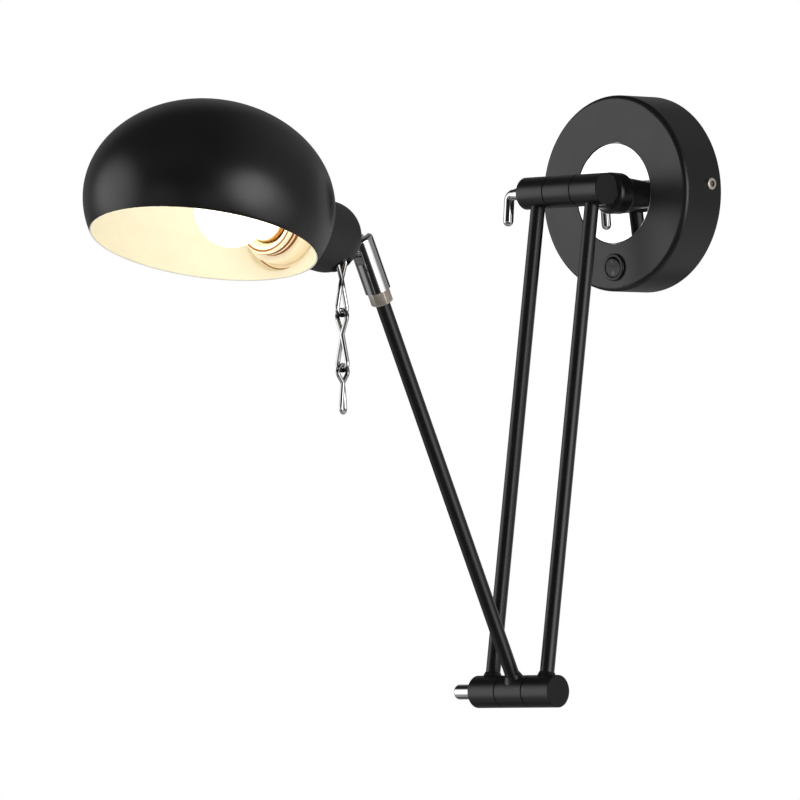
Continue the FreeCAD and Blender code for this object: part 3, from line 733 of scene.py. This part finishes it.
@dataclass
class RockerSwitch:
    """Rocker switch in the canopy, with a bar and a ring as its marks."""

    book: FinishBook
    reach: float = 0.032
    drop: float = 0.046
    pivot: float = -0.001
    throw: float = 7.0
    valley: float = 0.0024
    mark_place: float = 0.0034
    mark_height: float = 0.0001
    bar_width: float = 0.0007
    bar_length: float = 0.0022
    ring_inner: float = 0.0006
    ring_outer: float = 0.0012
    ring_sides: int = 40
    edge_steps: int = 2

    def facet(self, side: int) -> Matrix:
        """Middle of the mark on the rocker's upper (1) or lower (-1) face."""
        rocker = shift(0, -self.reach, -self.drop) @ turn("X", 90) @ shift(0, 0, self.pivot) @ turn("X", self.throw)
        return rocker @ shift(0, 0, self.valley) @ turn("X", side * self.throw) @ shift(0, side * self.mark_place, 0)

    def build_marks(self) -> None:
        """Raised bar on the upper face and raised ring on the lower face."""
        bar = Piece.added("on_mark", bpy.ops.mesh.primitive_cube_add, size=1,
                          scale=(self.bar_width, self.bar_length, 2 * self.mark_height))
        bar.modify("BEVEL", width=self.mark_height / 2, segments=self.edge_steps)
        ring = Piece.turned("off_mark", [
            (self.ring_inner, -self.mark_height), (self.ring_inner, self.mark_height),
            (self.ring_outer, self.mark_height), (self.ring_outer, -self.mark_height),
            (self.ring_inner, -self.mark_height)], sides=self.ring_sides, hollow=True)
        ring.modify("BEVEL", width=self.mark_height / 2, segments=self.edge_steps, limit_method="ANGLE")
        for side, mark in ((1, bar), (-1, ring)):
            mark.put(self.facet(side))
            mark.hand_over("switch_rocker", Slot.BLACK_PLASTIC, self.book.print_ink)

    def build(self) -> None:
        """Dress the switch."""
        self.build_marks()
        dress(self.book.black_plastic, "switch_body", "switch_rocker", "switch_nut")
        dress(self.book.brass, "switch_blades")
        dress(self.book.zinc, "rocker_pin")


@dataclass
class Arms:
    """Swivel post, clamp barrels, tubes and the two clamps."""

    book: FinishBook

    def build(self) -> None:
        """Dress the arms."""
        dress(self.book.paint, "swivel_post", "upper_hub", "lower_hub", "left_tube", "right_tube", "fore_tube")
        for level in ("upper", "lower"):
            dress(self.book.paint, level + "_left_knuckle", level + "_right_knuckle", level + "_washers")
            dress(self.book.zinc, level + "_clamp_bolt")
        dress(self.book.zinc, "friction_washer", "spring_washer", "stem_nut")
        dress(self.book.chrome, "upper_lever", "lower_knob")


@dataclass
class HeadJoint:
    """Lock nut, clevis and tongue between the fore arm and the lamp head."""

    book: FinishBook
    nut_start: float = 0.262
    nut_height: float = 0.009
    nut_flats: float = 0.012
    nut_chamfer: float = 0.0007
    nut_edge: float = 0.0003
    nut_edge_steps: int = 3
    nut_facing: float = 9.5
    nut_bore: float = 0.00455

    def build_lock_nut(self) -> None:
        """Hexagon nut with turned chamfers and softened edges."""
        corner = self.nut_flats / math.sqrt(3)
        end = corner - self.nut_chamfer
        nut = Piece.turned("lock_nut_dressed", [
            (end, 0), (corner, self.nut_chamfer), (corner, self.nut_height - self.nut_chamfer),
            (end, self.nut_height)], sides=6)
        nut.modify("BEVEL", width=self.nut_edge, segments=self.nut_edge_steps)
        nut.cut(Piece.turned("nut_tool", [(self.nut_bore, -self.nut_height), (self.nut_bore, 2 * self.nut_height)]))
        nut.put(REST.fore() @ shift(0, 0, self.nut_start) @ turn("Z", self.nut_facing))
        nut.hand_over("fore_arm", Slot.NICKEL, self.book.nickel, stands_for=("lock_nut",))

    def build(self) -> None:
        """Dress the joint."""
        self.build_lock_nut()
        dress(self.book.chrome, "clevis", "tilt_pin", "tongue")
        dress(self.book.zinc, "tongue_nut")


@dataclass
class Shade:
    """Dome shade: a pressed shell, black outside and cream inside, with a flat seat at its back.

    Sizes run from the dome's middle, and the seat's along the socket. On the seat's inside lies a cream disc that glows
    with painted light, with a brown line of painted shadow round it; two radii give their outsides.
    """

    book: FinishBook
    reach: float = 0.1469
    radius: float = 0.0749
    height: float = 0.0601
    skirt: float = 0.0256
    pitch: float = 8.0
    wall: float = 0.001
    seat_face: float = 0.0739
    seat_radius: float = 0.0295
    seat_edge: float = 0.003
    seat_blend: float = 0.0012
    seat_depth: float = 0.006
    hole: float = 0.0207
    rim_round: float = 0.0003
    rim_steps: int = 2
    rim_angle: float = 50.0
    seat_light_radius: float = 0.0264
    seat_shadow_radius: float = 0.0272
    rings: int = 480
    steps: int = 144
    ball_merge: float = 0.0005

    def dome_reach(self, way: Vector) -> float:
        """Distance from the dome's middle to the plain dome.

        Args:
            way: Unit direction from the middle.

        Returns:
            The distance along it.
        """
        level = turn("X", self.pitch) @ way
        flat = (level.x ** 2 + level.y ** 2) / self.radius ** 2
        return 1 / math.sqrt(flat + level.z ** 2 / self.height ** 2)

    def seat_reach(self, way: Vector) -> float:
        """Distance from the dome's middle to the rounded seat.

        Args:
            way: Unit direction from the middle.

        Returns:
            The distance along it, or 0 in front.
        """
        along = way.y
        across = math.hypot(way.x, way.z)
        if along <= 0:
            return 0.0
        inner_radius = self.seat_radius - self.seat_edge
        inner_face = self.seat_face - self.seat_edge
        if self.seat_face * across <= inner_radius * along:
            return self.seat_face / along
        if self.seat_radius * along <= inner_face * across:
            return self.seat_radius / across
        toward = along * inner_face + across * inner_radius
        return toward + math.sqrt(toward ** 2 - inner_face ** 2 - inner_radius ** 2 + self.seat_edge ** 2)

    def outside(self, point: Vector) -> Vector:
        """Move a point of the unit ball out to the shade's outside, with a soft corner round the seat.

        Args:
            point: The point on the ball.

        Returns:
            The point on the shade.
        """
        way = point.normalized()
        dome = self.dome_reach(way)
        seat = self.seat_reach(way)
        share = min(1.0, max(0.0, 0.5 + 0.5 * (seat - dome) / self.seat_blend))
        return way * (dome + (seat - dome) * share + self.seat_blend * share * (1 - share) / 2)

    def on_seat(self, middle: Vector, inner: float, outer: float) -> bool:
        """Whether a point lies on the inside of the seat, between two distances from the socket's middle."""
        sunk = self.seat_face - middle.y
        return inner < math.hypot(middle.x, middle.z) < outer and self.wall / 2 < sunk < self.seat_depth

    def build(self) -> None:
        """Spin half a circle into a ball, push it out to the shade, cut the rim and give it its wall."""
        shell = Piece.added("shade_shell", bpy.ops.mesh.primitive_circle_add, vertices=self.rings, radius=1.0)
        shell.bisect(Vector(), Vector((-1, 0, 0)))
        opening = math.cos(math.atan2(self.hole, self.seat_face))
        shell.bisect(Vector((0, opening, 0)), Vector((0, 1, 0)))
        shell.edit()
        bpy.ops.mesh.spin(steps=self.steps, angle=2 * math.pi, center=(0, 0, 0), axis=(0, 1, 0))
        bpy.ops.mesh.select_all(action="SELECT")
        bpy.ops.mesh.remove_doubles(threshold=self.ball_merge)
        bpy.ops.mesh.normals_make_consistent(inside=False)
        shell.reshape(self.outside)
        down = turn("X", -self.pitch) @ Vector((0, 0, -1))
        shell.bisect(down * self.skirt, down)
        for finish in (self.book.paint, self.book.lining):
            shell.obj.data.materials.append(finish)
        shell.modify("SOLIDIFY", thickness=self.wall, offset=-1, material_offset=1, material_offset_rim=1,
                     use_even_offset=True)
        shell.modify("BEVEL", width=self.rim_round, segments=self.rim_steps, limit_method="ANGLE",
                     angle_limit=math.radians(self.rim_angle))
        # Painted light on the seat's inside, and a painted shadow line round it
        shell.paint(self.book.cream_plastic, lambda middle: self.on_seat(middle, 0, self.seat_light_radius))
        shell.paint(self.book.painted_shade_brown, lambda middle: self.on_seat(middle, self.seat_light_radius, self.seat_shadow_radius))
        shell.put(REST.socket() @ shift(0, -self.reach, 0))
        shell.hand_over("lamp_head", Slot.BLACK_PAINT, stands_for=("shade",))


@dataclass
class LampSocket:
    """Socket cup, lamp holder with its clamp ring, and bulb. Heights run out from the shade's seat.

    A groove has a start, an end and a depth, and its sides fall flank times as far as they run. A face between the two
    shares of that depth in groove_colour takes the grooves' painted shade. A soft edge is cut back by a corner-th of
    its size.
    """

    book: FinishBook
    seat: float = 0.074
    holder_radius: float = 0.0205
    holder_back: float = -0.033
    holder_mouth: float = 0.019
    mouth_radius: float = 0.0159
    mouth_depth: float = 0.003
    bore_radius: float = 0.01425
    bore_floor: float = -0.006
    edge: float = 0.0006
    corner: float = 3.0
    grooves: tuple[Groove, ...] = ((0.0102, 0.0128, 0.0014), (0.0140, 0.0162, 0.0011))
    lip_groove: Groove = (0.0184, 0.0197, 0.0005)
    flank: float = 3.0
    groove_colour: Pair = (0.25, 2.0)
    ring_radius: float = 0.0242
    ring_bore: float = 0.02055
    ring_depth: float = 0.010
    ring_step: float = 0.0009
    ring_groove: float = 0.0007
    ring_margin: float = 0.000007
    sides: int = 128

    def place(self) -> Matrix:
        """Frame with its origin in the seat's middle and Z out along the socket."""
        return REST.socket() @ shift(0, -self.seat, 0) @ turn("X", 90)

    def build_holder(self) -> None:
        """Moulded holder with thread grooves round it and a rounded mouth. Its cream glows with painted light, and
        painted shade darkens its grooves.
        """
        outer, mouth, soft = self.holder_radius, self.holder_mouth, self.edge / self.corner
        lip_inner, lip_outer, lip_depth = self.lip_groove
        lip_flank = lip_depth / self.flank
        profile = [(outer, self.holder_back)]
        for start, end, depth in self.grooves:
            profile += [(outer, start), (outer - depth, start + depth / self.flank),
                        (outer - depth, end - depth / self.flank), (outer, end)]
        profile += [(outer, mouth - self.edge), (outer - soft, mouth - soft), (outer - self.edge, mouth),
                    (lip_outer, mouth), (lip_outer - lip_flank, mouth - lip_depth),
                    (lip_inner + lip_flank, mouth - lip_depth), (lip_inner, mouth),
                    (self.mouth_radius + self.edge, mouth), (self.mouth_radius, mouth - self.edge),
                    (self.mouth_radius, mouth - self.mouth_depth),
                    (self.bore_radius, mouth - self.mouth_depth), (self.bore_radius, self.bore_floor)]
        holder = Piece.turned("holder_dressed", profile, sides=self.sides)
        holder.obj.data.materials.append(self.book.cream_plastic)
        # Painted shade in the thread grooves and the mouth's groove
        holder.paint(self.book.painted_shade_brown, self.in_groove)
        holder.put(self.place())
        holder.hand_over("lamp_head", Slot.HOLDER_PLASTIC, stands_for=("lamp_holder",))

    def sunk(self, below: float, depth: float) -> bool:
        """Whether a point so far below the plain surface is in a groove of some depth."""
        start, end = self.groove_colour
        return start * depth < below < end * depth

    def in_groove(self, middle: Vector) -> bool:
        """Whether a point of the turned holder lies in a thread groove or in the mouth's groove.

        Args:
            middle: The point.

        Returns:
            Whether it takes the grooves' painted shade.
        """
        across = math.hypot(middle.x, middle.y)
        inner, outer, lip_depth = self.lip_groove
        if inner < across < outer and self.sunk(self.holder_mouth - middle.z, lip_depth):
            return True
        return any(start < middle.z < end and self.sunk(self.holder_radius - across, depth)
                   for start, end, depth in self.grooves)

    def build_ring(self) -> None:
        """Clamp ring with a stepped foot against the shade and a rounded front. Its cream glows with painted light, and
        a painted shadow line runs round its foot.
        """
        outer, bore, depth, soft = self.ring_radius, self.ring_bore, self.ring_depth, self.edge / self.corner
        inset, foot = outer - self.ring_step, self.ring_groove
        ring = Piece.turned("clamp_ring_dressed", [
            (bore, 0), (inset, 0), (inset, foot), (outer, foot), (outer, depth - self.edge),
            (outer - soft, depth - soft), (outer - self.edge, depth), (bore, depth), (bore, 0)],
            sides=self.sides, hollow=True)
        ring.obj.data.materials.append(self.book.cream_plastic)
        # Painted shadow line round the ring's foot
        ring.paint(self.book.painted_shade_brown, lambda middle: middle.z < foot + self.ring_margin)
        ring.put(self.place())
        ring.hand_over("lamp_head", Slot.HOLDER_PLASTIC, stands_for=("clamp_ring",))

    def build(self) -> None:
        """Dress the socket and the bulb."""
        self.build_holder()
        self.build_ring()
        dress(self.book.cup_plastic, "socket_cup")
        dress(self.book.brass, "screw_shell", "centre_contact", "bulb_tip")
        dress(self.book.cap_metal, "bulb_cap")
        dress(self.book.glass, "bulb_globe")
        dress(self.book.black_plastic, "pull_switch")
        dress(self.book.black_chrome, "pull_eyelet")


@dataclass
class PullChain:
    """Chain that works the pull switch. Heights are those of the hanging chain at rest.

    Each link has a name, a top and a foot. Painted shade darkens it over the length of a bend where links meet, and the
    first link over shaded at its top, below the cup.
    """

    book: FinishBook
    plate: Colour = (0.84, 0.84, 0.85)
    # Dark colour of the painted shade at the bends and below the cup
    painted_shade: Colour = (0.02, 0.018, 0.016)
    bend: float = 0.0032
    shaded: float = 0.017
    links: tuple[tuple[str, float, float], ...] = (
        ("pull_link", -0.0461, -0.0841),
        ("chain_link", -0.0782, -0.1172),
        ("end_link", -0.1113, -0.1423),
    )

    def build(self) -> None:
        """Dress the chain, each link with its own painted shade."""
        first, last = self.links[0], self.links[-1]
        for link in self.links:
            name, top, foot = link
            shade_spots = [] if link is last else [(foot, foot + self.bend)]
            shade_spots.append((top - (self.shaded if link is first else self.bend), top))
            dress(ShadedLinkPlate(name + "_chrome", self.plate, self.painted_shade, top, foot, tuple(shade_spots)).material(), name)
        dress(self.book.zinc, "pull_plunger")


@dataclass(frozen=True)
class Panel:
    """Soft panel round the lamp: degrees right of the camera and above level, half widths and strength."""

    across: float
    rise: float
    inner: float
    outer: float
    strength: float


@dataclass
class Studio:
    """Camera at the photograph's angle, soft light, a pale floor and a white backdrop.

    Angles are in degrees, the focal length and the image in pixels, and the sensor in millimetres. What shines sees
    gap_level between the panels, and fill is the even light on the rest.
    """

    panels: tuple[Panel, ...] = (
        Panel(-97, 0, 8, 36, 1.45),
        Panel(-97, -40, 8, 30, 0.32),
        Panel(41, 0, 8, 31, 2.8),
        Panel(58, -15, 12, 30, 1.0),
        Panel(98, 0, 36, 88, 0.25),
        Panel(115, -35, 10, 40, 0.45),
        Panel(138, -4, 8, 32, 0.55),
        Panel(180, 0, 20, 60, 0.2),
        Panel(0, -90, 15, 52, 0.3),
        Panel(0, -16, 4, 18, 0.35),
        Panel(-44, -14, 5, 24, 0.3),
    )
    gap_level: float = 0.015
    fill: float = 0.55
    azimuth: float = 44.136
    pitch: float = 1.67
    roll: float = -0.7
    distance: float = 5.6136
    focal: float = 9000.0
    image: float = 800.0
    sensor: float = 36.0
    origin_pixel: Pair = (648.427, 194.784)
    view_depth: float = 100.0
    light_across: float = -45.0
    light_rise: float = 40.0
    light_distance: float = 2.5
    light_size: float = 2.0
    light_power: float = 45.0
    floor_gap: float = 0.62
    floor_radius: float = 2.2
    floor_sides: int = 128
    floor_tone: float = 0.9
    floor_roughness: float = 0.8

    def axes(self) -> tuple[Vector, Vector, Vector]:
        """Work out the camera's axes.

        Returns:
            Its right, up and forward directions.
        """
        across, rise = math.radians(self.azimuth), math.radians(self.pitch)
        ahead = Vector((-math.sin(across) * math.cos(rise), math.cos(across) * math.cos(rise), math.sin(rise)))
        right = Vector((math.cos(across), math.sin(across), 0))
        rolled = Matrix.Rotation(math.radians(-self.roll), 4, ahead) @ right
        return rolled, rolled.cross(ahead), ahead

    def place_camera(self) -> None:
        """Set the camera so that the lamp's origin falls on its pixel."""
        right, up, ahead = self.axes()
        middle = self.image / 2
        ray = ahead * self.focal + right * (self.origin_pixel[0] - middle) - up * (self.origin_pixel[1] - middle)
        bpy.ops.object.camera_add()
        camera = bpy.context.active_object
        camera.matrix_world = Matrix.Translation(-ray.normalized() * self.distance) @ Matrix(
            (right, up, -ahead)).transposed().to_4x4()
        camera.data.sensor_width = self.sensor
        camera.data.lens = self.sensor * self.focal / self.image
        camera.data.clip_end = self.view_depth
        bpy.context.scene.camera = camera

    def direction(self, across: float, rise: float) -> Vector:
        """Work out a direction from the lamp.

        Args:
            across: Degrees to the right of the camera.
            rise: Degrees above level.

        Returns:
            The unit direction.
        """
        right, _, ahead = self.axes()
        level = Vector((-ahead.x, -ahead.y, 0)).normalized()
        side = Vector((right.x, right.y, 0)).normalized()
        across, rise = math.radians(across), math.radians(rise)
        return (level * math.cos(across) + side * math.sin(across)) * math.cos(rise) + Vector((0, 0, math.sin(rise)))

    def hang_backdrop(self) -> None:
        """White backdrop for the camera, soft panels for what shines, and an even fill for the rest."""
        world = bpy.data.worlds.new("studio")
        world.use_nodes = True
        bpy.context.scene.world = world
        nodes = Nodes(world.node_tree)
        way = nodes.add("ShaderNodeTexCoord").outputs["Generated"]
        light = None
        for panel in self.panels:
            toward = nodes.add("ShaderNodeVectorMath", {0: way, 1: self.direction(panel.across, panel.rise)},
                               operation="DOT_PRODUCT").outputs["Value"]
            glow = nodes.add("ShaderNodeMapRange", {
                "Value": toward, "To Min": self.gap_level, "To Max": panel.strength,
                "From Min": math.cos(math.radians(panel.outer)), "From Max": math.cos(math.radians(panel.inner)),
            }, interpolation_type="SMOOTHSTEP").outputs["Result"]
            if light is not None:
                glow = nodes.add("ShaderNodeMath", {0: light, 1: glow}, operation="MAXIMUM").outputs[0]
            light = glow
        path = nodes.add("ShaderNodeLightPath").outputs
        shining = nodes.add("ShaderNodeMath", {0: path["Is Glossy Ray"], 1: path["Is Transmission Ray"]},
                            operation="MAXIMUM").outputs[0]
        white = (1.0, 1.0, 1.0)
        seen = nodes.mix(shining, shade_of(white, self.fill), light)
        colour = nodes.mix(path["Is Camera Ray"], seen, shade_of(white, 1.0))
        background = nodes.add("ShaderNodeBackground", {"Color": colour, "Strength": 1.0})
        nodes.add("ShaderNodeOutputWorld", {"Surface": background.outputs[0]})

    def set_light(self) -> None:
        """One large soft light high on the left, which gives the floor its shadow."""
        bpy.ops.object.light_add(type="AREA")
        light = bpy.context.active_object
        light.name = "soft_light"
        place = self.direction(self.light_across, self.light_rise) * self.light_distance
        light.matrix_world = Matrix.Translation(place) @ place.to_track_quat("Z", "Y").to_matrix().to_4x4()
        light.data.shape = "DISK"
        light.data.size = self.light_size
        light.data.energy = self.light_power
        light.visible_glossy = False

    def lay_floor(self) -> None:
        """Pale floor, below the lamp's reach with its arms swung down."""
        bpy.ops.object.select_all(action="DESELECT")
        bpy.ops.mesh.primitive_circle_add(vertices=self.floor_sides, radius=self.floor_radius, fill_type="NGON",
                                          location=(0, 0, CAD_BOX[0].z - self.floor_gap))
        floor = bpy.context.active_object
        floor.name = "floor"
        pale = Nodes.of_material("pale_floor").surface(
            Base_Color=(self.floor_tone, self.floor_tone, self.floor_tone, 1.0), Roughness=self.floor_roughness)
        floor.data.materials.append(pale)
        floor.visible_glossy = False

    def build(self) -> None:
        """Set the whole studio up."""
        bpy.context.scene.view_settings.view_transform = "Standard"
        self.place_camera()
        self.hang_backdrop()
        self.set_light()
        self.lay_floor()


def main() -> None:
    """Build the lamp's looks in order."""
    logging.basicConfig(level=logging.INFO, format="%(message)s")
    book = FinishBook()
    Studio().build()
    for part in (Canopy, RockerSwitch, Arms, HeadJoint, Shade, LampSocket, PullChain):
        part(book).build()


if __name__ == "__main__":
    main()
